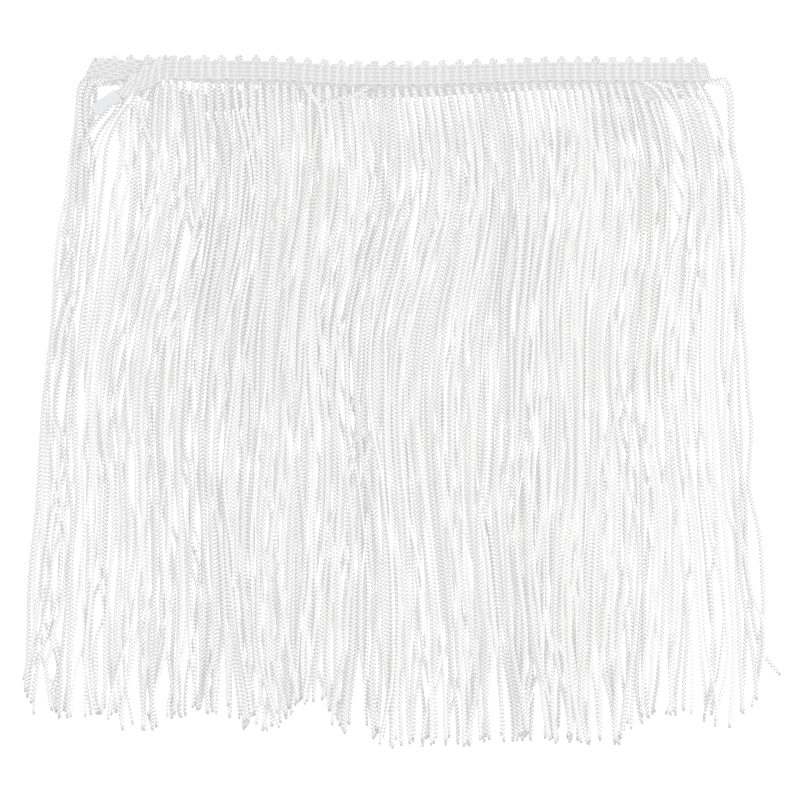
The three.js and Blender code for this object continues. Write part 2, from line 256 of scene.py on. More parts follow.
# %% [markdown]
# ## The heading's ground
#
# Between the ribs a thin knitted ground shows. It is a flat sheet folded in three, so it is
# made as a slim closed section carried along the band.

# %% The knitted ground of the heading
GROUND_LOW, GROUND_HIGH, GROUND_EDGE = 0.35, 0.85, 0.12
GROUND_INSET, GROUND_END, GROUND_STEP = 0.35, 0.6, 0.96


def ground_mesh(name):
    """A closed section at every step along the band: nine places across its back and nine
    across its face. The outer ones sit closer, as a rounded edge."""
    count = int(BAND_LENGTH / GROUND_STEP)
    s = np.linspace(GROUND_END, BAND_LENGTH - GROUND_END, count)[:, None]
    half = BAND_WIDTH / 2 - GROUND_INSET
    w = np.r_[np.linspace(-half, half, 9), np.linspace(half, -half, 9)]
    n = np.r_[np.full(9, GROUND_LOW), np.full(9, GROUND_HIGH)]
    n[[0, 8, 9, 17]] += GROUND_EDGE * np.array([1, 1, -1, -1])
    points = band_at(s, w[None], n[None]) * MM
    rows, cols = points.shape[:2]
    i, j = np.meshgrid(np.arange(rows - 1), np.arange(cols), indexing="ij")
    nxt = (j + 1) % cols
    quads = np.stack([i * cols + j, (i + 1) * cols + j, (i + 1) * cols + nxt, i * cols + nxt], -1)
    caps = [np.arange(cols), np.arange(rows * cols - 1, (rows - 1) * cols - 1, -1)]
    loops = np.concatenate([quads.ravel(), *caps])
    flat = np.stack([np.broadcast_to(w / BAND_WIDTH, (rows, cols)),
                     np.broadcast_to(s / STITCH, (rows, cols))], -1).reshape(-1, 2)
    sizes = np.r_[np.full(quads.size // 4, 4), cols, cols]
    return placed(name, mesh_of(name, points.reshape(-1, 3), loops, sizes, flat[loops]))


heading_ground = ground_mesh("heading_ground")
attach(heading_ground, "root")
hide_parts("heading")

# %% [markdown]
# ## Ribs and picots
#
# In the heading each cord goes up as a rib, turns over in a picot at the top edge and comes down
# as the next rib: a straight leg, half an ellipse and another leg, pinched together below the
# picot. Near the taped end the ribs lean, so the legs are sheared in the band's plane.

# %% Places of the ribs
RIB_PITCH, FIRST_RIB, END_MARGIN = 3.84, 1.7, 1.2
LOW_EDGE, CORD_LEVEL = -BAND_WIDTH / 2, 0.85
SHEAR, SHEAR_FULL, SHEAR_FADE = 1.15, 22, 26

room = BAND_LENGTH - TAPE_END - FIRST_RIB - END_MARGIN
ribs = TAPE_END + FIRST_RIB + RIB_PITCH * np.arange(int(room / RIB_PITCH))
ribs = ribs[: len(ribs) // 2 * 2]


def shear(s):
    """How far a rib moves along the band for each step across it, near the taped end."""
    return SHEAR * (1 - ease((s - SHEAR_FULL) / SHEAR_FADE))


def leg_at(s, w, n):
    """A place on the band, moved along it by the shear times the way across."""
    return band_at(s + shear(s) * w, w, n)


def out_of(s, w, n):
    """The way out of the band's face at a place: one step higher less the place itself."""
    return leg_at(s, w, n + 1) - leg_at(s, w, n)


print(len(ribs), "ribs, the last at", round(ribs[-1], 1), "mm")

# %% Hairpins of cord in the heading
RIB_WIDE, PICOT_WIDE, RIB_THICK = 1.62, 2.1, 1.25
PICOT_TOP, PICOT_FOOT, PICOT_LIFT = 5.75, 4.2, 0.15
PINCH, PINCH_BELOW, PINCH_REACH = 0.42, 2.2, 2.4
LEG_POINTS, TURN_POINTS = 10, 14


def hairpin():
    """Up one rib, over by half an ellipse and down the next. It lifts by a sine as it turns."""
    leg, flat = np.linspace(LOW_EDGE, PICOT_FOOT, LEG_POINTS), np.zeros(LEG_POINTS)
    turn = np.linspace(0, np.pi, TURN_POINTS + 2)[1:-1]
    w = np.r_[leg, PICOT_FOOT + (PICOT_TOP - PICOT_FOOT) * np.sin(turn), leg[::-1]]
    share = np.r_[flat, (1 - np.cos(turn)) / 2, flat + 1]
    lift = np.r_[flat, PICOT_LIFT * np.sin(turn), flat]
    return w, share, lift


w_pin, share_pin, lift_pin = hairpin()
pinch = 1 - PINCH * ease((w_pin - PICOT_FOOT + PINCH_BELOW) / PINCH_REACH)
s_pin = ribs[0::2, None] + RIB_PITCH / 2 + (share_pin - 0.5) * RIB_PITCH * pinch
pin_lines = leg_at(s_pin, w_pin, CORD_LEVEL + lift_pin)
pin_ups = out_of(s_pin, w_pin, CORD_LEVEL)
pin_width = np.where(w_pin > PICOT_FOOT, PICOT_WIDE, RIB_WIDE)[None]
heading_ribs = tubes("heading_ribs", pin_lines, pin_ups, pin_width, RIB_THICK, sides=8,
                     groove=0.15, taper=1.0)
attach(heading_ribs, "root")

# %% [markdown]
# ## Rows of chain stitch
#
# Five rows of fine chain stitch tie the ribs together. Each row is two threads that weave past
# each other: they show as dashes over the ribs and sink into the ground between them. The middle
# layer lies face down, so the longer floats of its back show there.

# %% Chain stitch across the ribs
ROWS = np.array([-3.62, -1.8, 0.02, 1.84, 3.66])
THREAD, SUNK, BEDDED, WEAVE, THREAD_END = 0.42, 0.62, 0.02, 0.34, 0.3


def stitch_rows(step=RIB_PITCH / 6):
    """Threads along the band, which rise over each rib by a raised cosine. Their place across
    it is the row's, plus or less a sine two ribs long."""
    s = np.arange(THREAD_END, BAND_LENGTH - THREAD_END, step)
    beat = 2 * np.pi * (s - ribs[0]) / RIB_PITCH
    over = CORD_LEVEL + RIB_THICK / 2 - BEDDED
    n = SUNK + (over - SUNK) * (0.5 + 0.5 * np.cos(beat)) ** 0.8
    sway = WEAVE * np.sin(beat / 2)
    w = np.concatenate([ROWS[:, None] + sway, ROWS[:, None] - sway])
    return leg_at(s, w, n), out_of(s, w, n)


stitch_lines, stitch_ups = stitch_rows()
chain_stitches = tubes("chain_stitches", stitch_lines, stitch_ups, THREAD, THREAD * 0.8, sides=4)
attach(chain_stitches, "root")

# %% Floats on the middle layer's back
FLOAT_ROWS, FLOAT_SPAN, FLOAT_SLANT, FLOAT_SHIFT = 9, 4.0, 0.75, 0.37
FLOAT_WIDE, FLOAT_THICK, FLOAT_LEVEL, FLOAT_RISE = 0.62, 0.34, 0.12, 0.1
FOLD_SLACK = 3
FIRST_FOLD = float(reach[len(top_frames)])
SECOND_FOLD = float(reach[len(top_frames) + len(right_turn) + len(middle_frames) - 1])


def back_rows(first, last, step=RIB_PITCH / 4):
    """Rows of floats from one length to another. Each slants back and forth by a triangle wave
    two ribs long, and rises and falls by a sine."""
    s = np.arange(first, last, step)
    rows = np.linspace(-FLOAT_SPAN, FLOAT_SPAN, FLOAT_ROWS)[:, None]
    beat = s / (2 * RIB_PITCH) + np.arange(FLOAT_ROWS)[:, None] * FLOAT_SHIFT
    w = rows + FLOAT_SLANT * (2 * np.abs(2 * (beat % 1) - 1) - 1)
    n = FLOAT_LEVEL + FLOAT_RISE * np.sin(2 * np.pi * beat)
    return band_at(s, w, n), band_at(s, w, n - 1) - band_at(s, w, n)


float_lines, float_ups = back_rows(FIRST_FOLD, SECOND_FOLD + FOLD_SLACK)
back_floats = tubes("back_floats", float_lines, float_ups, FLOAT_WIDE, FLOAT_THICK, sides=4)
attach(back_floats, "root")

# %% [markdown]
# ## Where each cord of the fringe runs
#
# A cord leaves the heading at the foot of each rib and runs down to its cut tip. One array holds
# the places of all cords, with a row for each cord and a column for each level. The first guess
# is a drift shared by all layers, plus waves shared by the neighbours in a layer, plus a wander
# of each cord's own.
#
# The drift is a table in millimetres, with a row for each of PLACES along the heading and a
# column for each of DEPTHS below it. Near the taped end the top layer also sweeps to the left.

# %% Tables of the drift
CORD_WIDE, CORD_FLAT = 2.12, 1.68
LEVEL_STEP = 3.0
LEVELS = np.arange(150, -168, -LEVEL_STEP)
DEPTHS = np.array([0, 20, 45, 75, 105, 140, 190, 250, 310.0])
PLACES = np.array([-143, -90, -30, 30, 90, 140.0])
DRIFT = np.array([[0, -4.5, -7.5, -9, -10, -18.5, -19.5, -21, -23],
                  [0, 1, 1, -4, -9, -11, -11, -13, -12],
                  [0, 2, 2, -2, -7, -9, -9, -7, -8],
                  [0, 4, 5, 1, -5, -5, -3, -1, 1],
                  [0, 5, 7, 5, 2, 0, 0, 2, 2],
                  [0, 9, 11, 13.5, 13.5, 15.5, 18, 22.5, 19]])
SWEEP_DEPTHS = np.array([0, 10, 20, 32, 48, 70, 110, 310.0])
SWEEP = np.array([0, 6, 12, 17, 21, 23, 24, 25.0])
SWEEP_FADE = 11


def through(x, xs, ys):
    """Reads a smooth line through the table's points."""
    line = smooth_line(np.column_stack([xs, ys]))
    return np.interp(x, line[:, 0], line[:, 1])


def drifted(x, depth):
    """The table read both ways: first down each of its rows, then across from row to row."""
    down = np.linspace(0, DEPTHS[-1], 63)
    side = np.linspace(PLACES[0], PLACES[-1], 60)
    rows = np.array([through(down, DEPTHS, row) for row in DRIFT])
    table = np.array([through(side, PLACES, column) for column in rows.T])
    by_cord = np.array([np.interp(x, side, line) for line in table]).T
    return np.array([np.interp(d, down, line) for d, line in zip(depth, by_cord)])


print(len(LEVELS), "levels, drift from", DRIFT.min(), "to", DRIFT.max(), "mm")

# %% Waves of a layer and wander of a cord
WANDER = ((260, 1.0), (130, 0.6), (64, 0.2))
BROAD_WAVES, BROAD, FINE_WAVES, FINE = np.geomspace(40, 110, 3), 0.022, np.geomspace(9, 26, 4), 0.05


def waves(x, depth, lengths, share, rand):
    """Sum of sideways waves. Each has a length across the trim and a longer one down it; its
    height is a share of the first, so neighbours close up to bundles and part to gaps."""
    total = np.zeros(depth.shape)
    for length in lengths:
        down = rand.uniform(130, 420) * rand.choice([-1, 1])
        height = share * length * rand.uniform(0.7, 1.25)
        total += height * np.sin(2 * np.pi * (x / length + depth / down + rand.random()))
    return total


def wander(depth, rand):
    """Three slow sines for each cord, each with its own length, height and phase."""
    total = np.zeros(depth.shape)
    for length, height in WANDER:
        lengths = length * rand.uniform(0.75, 1.3, (len(depth), 1))
        heights = height * rand.normal(0, 1, (len(depth), 1))
        total += heights * np.sin(2 * np.pi * (depth / lengths + rand.random((len(depth), 1))))
    return total


print("waves from", FINE_WAVES[0], "to", BROAD_WAVES[-1], "mm long")

# %% Feet and first guess
STEEPEST, MOST_LEAN, LEAN_DEPTH = 0.35, 1.6, 10
WAVE_DEPTH, WANDER_DEPTH = 45, 50


def feet(first, last):
    """Where the cords between two lengths of the band leave it, and how far sideways they set
    off for each step down."""
    mine = ribs[(ribs >= first) & (ribs < last)]
    low, inner = leg_at(mine, LOW_EDGE, CORD_LEVEL), leg_at(mine, LOW_EDGE + 1, CORD_LEVEL)
    away = low - inner
    lean = np.clip(away[:, 0] / np.maximum(-away[:, 1], STEEPEST), -MOST_LEAN, MOST_LEAN)
    order = np.argsort(low[:, 0])
    return low[order], lean[order]


low_start = SECOND_FOLD + FOLD_SLACK
spans = [(low_start, BAND_LENGTH), (FIRST_FOLD, low_start), (0, FIRST_FOLD)]
all_feet = [feet(*span) for span in spans]
foot = np.concatenate([f for f, _ in all_feet])
lean = np.concatenate([l for _, l in all_feet])[:, None]
layer = np.repeat([0, 1, 2], [len(f) for f, _ in all_feet])
depth = np.clip(foot[:, 1:2] - LEVELS, 0, None)
guess = foot[:, :1] + drifted(foot[:, 0], depth) + lean * depth * np.exp(-depth / LEAN_DEPTH)
for order in range(3):
    mine = layer == order
    x, d = foot[mine, :1], depth[mine]
    rand = np.random.default_rng(5 + 11 * order)
    moved = waves(x, d, BROAD_WAVES, BROAD, rand) + waves(x, d, FINE_WAVES, FINE, rand)
    guess[mine] += (moved - moved[:, :1]) * ease(d / WAVE_DEPTH)
    if order == 2:
        guess[mine] -= np.exp(-(x - x.min()) / SWEEP_FADE) * through(d, SWEEP_DEPTHS, SWEEP)
own = wander(depth, np.random.default_rng(5))
guess += (own - own[:, :1]) * ease(depth / WANDER_DEPTH)
print(len(foot), "cords:", [len(f) for f, _ in all_feet])

# %% [markdown]
# ## Cords and gaps with a place of their own
#
# Some cords and gaps have a set place, in squares of 0.455 mm, counted to the right and down,
# with the trim's middle at 401, 401. Each drawn cord names its layer (0 is the lowest), and the
# free foot nearest to its first point takes it. A gap is a lens: its row holds two points and
# the full width, and its half width runs along it as a half ellipse.

# %% Drawn cords and gaps
SQUARE, SQUARES_MIDDLE = 0.455, 401


def from_squares(points):
    """Millimetres from the middle: squares to its right and above it, times a square's side."""
    p = np.array(points, float)
    return np.column_stack([p[:, 0] - SQUARES_MIDDLE, SQUARES_MIDDLE - p[:, 1]]) * SQUARE


DRAWN = [
    (0, [(84, 79), (80.5, 86), (79, 95), (78, 110), (76, 130), (73, 145), (69, 190), (68, 215),
         (64, 235), (66, 252), (66, 275), (65, 300), (60, 322), (54, 350), (49, 375), (45, 400),
         (44, 450), (43, 500), (43, 550), (39, 600), (36, 625), (30, 655), (24, 680)]),
    (0, [(92, 81), (86, 86), (82, 99), (79.5, 130), (75, 165), (73, 200),
         (71, 260), (69, 300)]),
    (0, [(102, 82), (92, 86), (86, 97), (84, 130), (80, 165)]),
    (0, [(110, 84), (99, 86), (91, 93), (89, 110), (88, 130), (85, 165)]),
    (0, [(117, 86), (124, 93), (127, 110), (125, 140)]),
    (1, [(87, 80), (84, 86), (81, 100), (80, 130), (77, 160), (74, 190), (71, 230)]),
    (1, [(94, 81), (89, 85), (85, 92), (83, 103), (83, 130)]),
    (1, [(104, 81), (96, 83.5), (90, 90), (87, 103), (87, 130)]),
    (1, [(114, 81), (123, 86), (127, 100), (125, 130)]),
    (1, [(124, 81), (123, 90), (122.5, 108), (122.5, 168)]),
    (2, [(120, 104), (110, 112), (99, 122), (90, 136), (84, 160), (81, 190), (79, 225)]),
    (2, [(127, 99), (117, 113), (105, 126), (96, 143), (92, 170), (89, 200), (88, 230)]),
    (2, [(135, 96), (126, 108), (113, 125), (103, 141), (98, 160), (95, 190), (93, 220)]),
    (2, [(144, 92.5), (135, 104), (120, 122), (108, 145), (104, 180), (100, 210), (98, 240)]),
    (2, [(154, 88), (147, 97), (143, 107), (142, 117), (146, 129), (150, 139), (157, 155),
         (159, 168)]),
    (2, [(306, 84), (310, 95), (320, 108), (323, 122)]),
    (2, [(368, 84), (356, 97), (345, 101), (332, 104), (322, 110), (318, 124)]),
    (2, [(640, 80), (652, 89), (659, 97), (664, 112)]),
    (2, [(649, 80), (663, 87), (680, 95), (692, 106), (701, 117)]),
    (1, [(714, 76), (724, 80), (730, 92), (732, 111), (731.5, 129), (730, 143), (731.5, 153),
         (738, 171), (742, 190), (743, 220), (744, 245), (741, 290), (743, 330), (745, 350),
         (748, 400), (751, 425), (750, 450), (748, 485), (752, 505), (757, 525), (760, 545),
         (762, 580), (763, 610), (758, 650), (757, 690)]),
    (2, [(714, 79), (724, 89), (728, 102), (729, 115), (728, 129)]),
    (0, [(708, 82), (715, 110), (719, 150), (727, 200), (733, 290), (737, 350), (739, 400),
         (741, 450), (740, 500), (744, 560), (750, 600), (757, 640), (765, 657), (780, 675)]),
]
GAPS = [
    (119, 147, 99, 205, 11), (99, 195, 105, 248, 6), (121, 112, 97, 142, 9),
    (144, 126, 128, 146, 9), (126, 172, 122, 198, 6), (128, 198, 123, 236, 6),
    (148, 165, 132, 196, 7), (142, 200, 135, 235, 5), (171, 138, 162, 165, 6),
    (208, 162, 202, 182, 5), (207, 196, 197, 250, 4), (194, 208, 177, 292, 9),
    (218, 122, 213, 150, 4), (236, 138, 232, 162, 3), (298, 122, 293, 155, 3),
    (279, 170, 276, 200, 4), (278, 205, 269, 240, 6), (376, 135, 369, 182, 5),
    (322, 155, 319, 180, 3), (365, 205, 361, 238, 3.5), (419, 152, 412, 200, 3.5),
    (418, 205, 411, 245, 4), (426, 168, 425, 200, 3.5), (440, 205, 435, 240, 3.5),
    (470, 140, 465, 195, 2.5), (574, 150, 571, 220, 2.5), (578, 195, 576, 230, 3),
    (655, 120, 657, 195, 4.5), (658, 200, 655, 260, 3), (668, 104, 679, 140, 9),
    (680, 142, 674, 240, 11), (718, 84, 727, 128, 7), (691, 215, 688, 270, 2.5),
    (731, 155, 733, 235, 3), (738, 180, 740, 255, 3), (165, 245, 161, 330, 3.5),
    (172, 295, 175, 345, 4), (77, 280, 79, 345, 3.5), (66, 370, 57, 450, 6),
    (80, 520, 75, 580, 6), (85, 395, 83, 430, 4), (88, 455, 85, 478, 5),
    (132, 412, 133, 515, 4.5), (111, 505, 110, 550, 3.5), (115, 560, 113, 620, 4),
    (190, 425, 184, 500, 3.5), (199, 505, 195, 590, 7), (175, 500, 177, 550, 5),
    (213, 420, 211, 460, 3.5), (224, 420, 220, 475, 3.5), (322, 275, 322, 310, 3),
    (343, 300, 338, 345, 4), (357, 310, 358, 345, 3.5), (343, 362, 341, 440, 4.5),
    (351, 360, 352, 415, 3.5), (352, 425, 355, 455, 3.5), (321, 420, 317, 480, 3),
    (435, 415, 438, 460, 3), (515, 290, 513, 345, 2.5), (545, 360, 548, 420, 3.5),
    (606, 395, 604, 440, 4), (624, 330, 625, 420, 3.5), (641, 390, 643, 430, 5),
    (661, 410, 661, 460, 5), (673, 330, 672, 365, 3), (633, 465, 630, 510, 5),
    (648, 470, 648, 500, 4.5), (607, 490, 611, 560, 6), (603, 510, 605, 570, 4),
    (587, 405, 586, 430, 4), (735, 360, 735, 415, 3.5), (744, 405, 745, 455, 4),
    (718, 440, 718, 510, 3.5), (729, 500, 733, 580, 5), (750, 510, 758, 630, 11),
    (697, 370, 696, 390, 4), (685, 545, 689, 590, 4.5), (692, 590, 696, 650, 5),
    (713, 570, 720, 625, 6), (745, 580, 755, 640, 6), (332, 490, 333, 525, 3.5),
    (379, 505, 381, 545, 3.5), (281, 550, 284, 590, 4.5), (268, 520, 265, 550, 3.5),
    (469, 540, 472, 590, 4), (98, 590, 100, 650, 8), (80, 610, 82, 650, 6),
    (58, 610, 58, 650, 6), (48, 640, 55, 700, 12), (75, 640, 80, 670, 6),
    (125, 620, 131, 665, 4), (213, 640, 217, 690, 3.5), (207, 690, 210, 740, 14),
    (321, 660, 323, 715, 4), (331, 640, 330, 690, 4), (448, 650, 450, 700, 4),
    (557, 640, 560, 690, 3.5), (622, 620, 625, 680, 4), (648, 640, 650, 700, 4),
    (600, 630, 605, 690, 4), (662, 690, 664, 760, 16),
]

# %% Put the drawn cords into the guess
drawn = {}
for order, points in DRAWN:
    line = from_squares(points)
    apart = np.linalg.norm(foot[:, :2] - line[0], axis=1) + 1e6 * (layer != order)
    apart[list(drawn)] = 1e6
    cord = int(np.argmin(apart))
    drawn[cord] = smooth_line(np.vstack([foot[cord, :2], line[1:]]))
fixed = np.zeros(guess.shape, bool)
for cord, line in drawn.items():
    inside = (LEVELS < line[0, 1]) & (LEVELS > line[-1, 1])
    below = np.interp(-line[-1, 1], -LEVELS, guess[cord])
    guess[cord, LEVELS <= line[-1, 1]] += line[-1, 0] - below
    guess[cord, inside] = np.interp(-LEVELS[inside], -line[:, 1], line[:, 0])
    fixed[cord] = inside
print(len(drawn), "drawn cords,", len(GAPS), "set gaps")

# %% [markdown]
# ## Letting the cords settle side by side
#
# Cords laid by chance alone would heap up in places and leave many slits. Real cords slide off
# each other. So the number of cords to each millimetre is counted over the whole trim, softened
# by a bell curve, and every cord moves a little down its slope and towards the middle between
# its neighbours. Then the gaps push cords aside, and each cord is evened along its length.

# %% Crowding, neighbours and gaps
CELL, COUNT_FROM, COUNT_SPAN = 0.4, -195.0, 390
GAP_SHARE, GAP_ENDS = 0.35, 0.1


def bell(sigma, step, slope=False):
    """A bell curve that sums to 1, or the slope of that curve."""
    t = np.arange(-np.ceil(3 * sigma / step), np.ceil(3 * sigma / step) + 1) * step
    g = np.exp(-t * t / (2 * sigma**2))
    return (-t / sigma**2 * g if slope else g) / g.sum()


def blurred(grid, weights, axis):
    """Each value becomes the weighted sum of its neighbours, with the edges repeated."""
    pad = len(weights) // 2
    return np.apply_along_axis(
        lambda v: np.convolve(np.pad(v, pad, mode="edge"), weights, mode="valid"), axis, grid)


def crowding_slope(x, seen, sideways, down):
    """How fast the number of cords to a millimetre grows to the right of each place."""
    grid = np.zeros((int(COUNT_SPAN / CELL), x.shape[1]))
    place = (x - COUNT_FROM) / CELL
    i = np.clip(place.astype(int), 0, len(grid) - 2)
    part = place - i
    column = np.broadcast_to(np.arange(x.shape[1]), x.shape)
    np.add.at(grid, (i[seen], column[seen]), (1 - part)[seen])
    np.add.at(grid, (i[seen] + 1, column[seen]), part[seen])
    grid = blurred(blurred(grid, bell(down, LEVEL_STEP), 1), bell(sideways, CELL, True), 0) / CELL
    return grid[i, column] * (1 - part) + grid[i + 1, column] * part


def between_neighbours(x, seen):
    """How far each cord is from the middle between its two neighbours on its level."""
    order = np.argsort(np.where(seen, x, 1e6), axis=0)
    line = np.take_along_axis(x, order, 0)
    there = np.take_along_axis(seen, order, 0)
    off = np.zeros(x.shape)
    off[1:-1] = ((line[2:] + line[:-2]) / 2 - line[1:-1]) * there[2:]
    back = np.empty(x.shape)
    np.put_along_axis(back, order, off, 0)
    return back


def pushed_aside(x, gap):
    """Moves the cords in a gap a share of the way out of it."""
    (xa, ya), (xb, yb) = from_squares([gap[:2], gap[2:4]])
    t = (LEVELS - ya) / (yb - ya)
    half = gap[4] * SQUARE / 2 * np.sqrt(np.clip(1 - (2 * t - 1) ** 2, 0, 1))
    clear = (half + CORD_WIDE / 2) * ((t > -GAP_ENDS) & (t < 1 + GAP_ENDS))
    off = x - (xa + (xb - xa) * t)
    return GAP_SHARE * np.sign(off) * np.clip(clear - np.abs(off), 0, None)


print("the first gap moves", int((pushed_aside(guess, GAPS[0]) != 0).sum()), "places")

# %% Settle the cords
PUSH, SHARE, ROUNDS, GAP_ROUNDS = 5.0, 0.35, 7, 8
MOST_SLIDE, ROOTED = 0.5, 9
NEAR_BELL, FAR_BELL = (1.1, 6.0), (3.0, 9.0)


def settled(x):
    """Rounds of sliding, opening the gaps and evening. Near its foot a cord can't move."""
    seen = LEVELS[None] <= foot[:, 1:2] + LEVEL_STEP
    free = ease(depth / ROOTED) * ~fixed
    for turn in range(ROUNDS + GAP_ROUNDS):
        if turn < ROUNDS:
            slide = (crowding_slope(x, seen, *NEAR_BELL)
                     + 2 * crowding_slope(x, seen, *FAR_BELL))
            aside = SHARE * between_neighbours(x, seen) - PUSH * slide
            x = x + np.clip(aside, -MOST_SLIDE, MOST_SLIDE) * free
        for gap in GAPS:
            x = x + pushed_aside(x, gap) * free
        for _ in range(2):
            even = x.copy()
            even[:, 1:-1] += 0.25 * (x[:, :-2] - 2 * x[:, 1:-1] + x[:, 2:])
            x = x + (even - x) * free
    return x


places = settled(guess)
print("cords moved by up to", round(float(np.abs(places - guess).max()), 1), "mm")

# %% [markdown]
# ## Laying the cords one by one
#
# The cords lie in a shallow heap, so each one rests on the table or on what was laid before it.
# A cloth or hair simulation could do this slowly; a height map does it in a second. Each cord
# reads the map under its line, takes a smooth line over the bumps, and then raises the map.

# %% A height map of the heap
CELL_X, CELL_Y = 0.35, 0.8
MAP_X0, MAP_Y0, MAP_WIDTH, MAP_HEIGHT = -190.0, -170.0, 380, 340
heap = np.zeros((int(MAP_HEIGHT / CELL_Y), int(MAP_WIDTH / CELL_X)))


def cells(x, y):
    """The row and column of the map that each place falls in."""
    i = np.clip(((y - MAP_Y0) / CELL_Y).astype(int), 0, heap.shape[0] - 1)
    j = np.clip(((x - MAP_X0) / CELL_X).astype(int), 0, heap.shape[1] - 1)
    return i, j


def raise_heap(x, y, z):
    """Each cell keeps the highest thing laid in it."""
    np.maximum.at(heap, cells(x, y), z)


def raise_band(first, last, n):
    """The band's upper side, which cords can lie on."""
    s = np.arange(first, last, 0.3)[:, None]
    w = np.arange(LOW_EDGE, -LOW_EDGE, 0.3)[None]
    p = band_at(s, w, n)
    raise_heap(p[..., 0], p[..., 1], p[..., 2])


print("the map has", heap.size, "cells")

# %% Rest one cord on it
FEELERS, FEELER_DROP, NESTLE, RIDGE_SINK = (-0.6, -0.3, 0, 0.3, 0.6), 0.25, 0.1, 0.08
SETTLE_RUN, ROOT_RUN = 16, 3


def widest(values, span):
    """The highest value within span places to either side."""
    padded = np.pad(values, span, mode="edge")
    return np.lib.stride_tricks.sliding_window_view(padded, 2 * span + 1).max(axis=-1)


def evened(values, span):
    """Mean over a window with a raised-cosine weight, twice."""
    weight = np.hanning(2 * span + 3)[1:-1]
    weight /= weight.sum()
    return blurred(blurred(values, weight, 0), weight, 0)


def lay(line, root_z, width, thick):
    """Returns the height of the cord's middle at each point of its line, and adds the cord to
    the heap as a rounded ridge. From its root's level it eases to the smoothed heap, and past
    ROOT_RUN it sinks in by no more than NESTLE."""
    along = unit(np.gradient(line, axis=0))
    side = np.column_stack([along[:, 1], -along[:, 0]])
    under = np.zeros(len(line))
    for k in FEELERS:
        felt = heap[cells(*(line + side * k * width / 2).T)] - FEELER_DROP * abs(k)
        under = np.maximum(under, felt)
    base = evened(widest(under, 1), 3)
    run = np.r_[0, np.cumsum(np.linalg.norm(np.diff(line, axis=0), axis=1))]
    settle, leave, root = ease(run / SETTLE_RUN), ease(run / ROOT_RUN), root_z - thick / 2
    base = np.maximum(root * (1 - settle) + base * settle, under - NESTLE)
    base = np.where(run < ROOT_RUN, root * (1 - leave) + base * leave, base)
    fine = np.linspace(0, run[-1], 900)
    x, y, z, sx, sy = (np.interp(fine, run, v)
                       for v in (line[:, 0], line[:, 1], base, side[:, 0], side[:, 1]))
    for k in np.linspace(-0.95, 0.95, 9):
        top = z + thick * (0.5 + 0.5 * np.sqrt(1 - k * k)) - RIDGE_SINK
        raise_heap(x + sx * k * width / 2, y + sy * k * width / 2, top)
    return base + thick / 2


print("a cord settles over", SETTLE_RUN, "mm")

# %% [markdown]
# ## The three layers of fringe
#
# Every cord ends at the cut line, a short table in the same squares. Near it the cords splay,
# each its own way, and bunch with their neighbours to points. The bottom layer is laid first and
# the top layer last, and in each the heading comes before its cords. Within a layer the order is
# shuffled, so cords pass over and under one another.

# %% Lines of the cords, cut at the hem
RINGS = 110
HEM = np.array([
    (24, 682), (36, 706), (46, 716), (88, 717), (107, 708), (124, 729), (145, 727), (207, 706),
    (235, 718), (265, 729), (310, 696), (340, 722), (385, 743), (430, 743), (535, 737),
    (610, 743), (662, 708), (730, 727), (757, 692), (780, 676)])
HEM_LEVEL, DRAWN_TO_HEM = -148, -120
SHORT, SHORT_SHIFT = 2.6, 1.5
SPLAY, SPLAY_FROM, BUNCH_FROM, SPLAY_RUN = 1.5, -95, -100, 50
BUNCHES, BUNCH = (9, 14, 21), 0.11


def cut_lines(rand):
    """Each cord's centreline from above, from its foot to its cut tip, in even steps. Tips end
    near the hem's line. A drawn cord that comes down far enough keeps its own tip."""
    lines = np.zeros((len(foot), RINGS, 2))
    squares = places / SQUARE + SQUARES_MIDDLE
    last = np.argmin(np.abs(LEVELS - HEM_LEVEL))
    hem = (SQUARES_MIDDLE - np.interp(squares[:, last], HEM[:, 0], HEM[:, 1])) * SQUARE
    tips = hem + np.abs(rand.normal(0, SHORT, len(foot))) - SHORT_SHIFT
    own_way = rand.normal(0, SPLAY, (len(foot), 1))
    splay = own_way * ease((SPLAY_FROM - LEVELS) / SPLAY_RUN) ** 2
    bunched = waves(places[:, last:last + 1], depth, BUNCHES, BUNCH, rand)
    splay = splay + bunched * ease((BUNCH_FROM - LEVELS) / SPLAY_RUN)
    for cord in range(len(foot)):
        below = LEVELS < foot[cord, 1]
        path = np.column_stack([places[cord] + splay[cord], LEVELS])[below]
        if cord in drawn:
            start = drawn[cord]
            path = path[path[:, 1] < start[-1, 1]]
            tips[cord] = start[-1, 1] if start[-1, 1] < DRAWN_TO_HEM else tips[cord]
        else:
            start = foot[cord:cord + 1, :2]
        path = np.vstack([start, path])
        tip_x = np.interp(-tips[cord], -path[:, 1], path[:, 0])
        path[:, 0] = np.where(path[:, 1] < tips[cord], tip_x, path[:, 0])
        path[:, 1] = np.maximum(path[:, 1], tips[cord])
        steps = np.linalg.norm(np.diff(path, axis=0), axis=1)
        run = np.r_[0, np.cumsum(steps)]
        keep = np.r_[True, steps > 1e-6]
        even = np.linspace(0, run[-1], RINGS)
        lines[cord] = np.column_stack([np.interp(even, run[keep], path[keep, j])
                                       for j in range(2)])
    return lines


cord_lines = cut_lines(np.random.default_rng(8))
print("the lowest tip is at", round(cord_lines[..., 1].min(), 1), "mm")

# %% Lay the layers from the table up
TWIST, FLAT_UP = 1.3, 0.4
THINNEST, WIDEST = 0.9, 1.06


def turned(count, rand):
    """Each cord's turn about itself along its length. A share of the sine of twice the angle is
    taken off, so it turns slowly with a flat face up and quickly on edge."""
    start = rand.uniform(0, np.pi, (count, 1))
    twist = rand.normal(0, TWIST, (count, 1))
    angle = start + twist * np.linspace(0, 1, RINGS)
    return angle - FLAT_UP * np.sin(2 * angle)


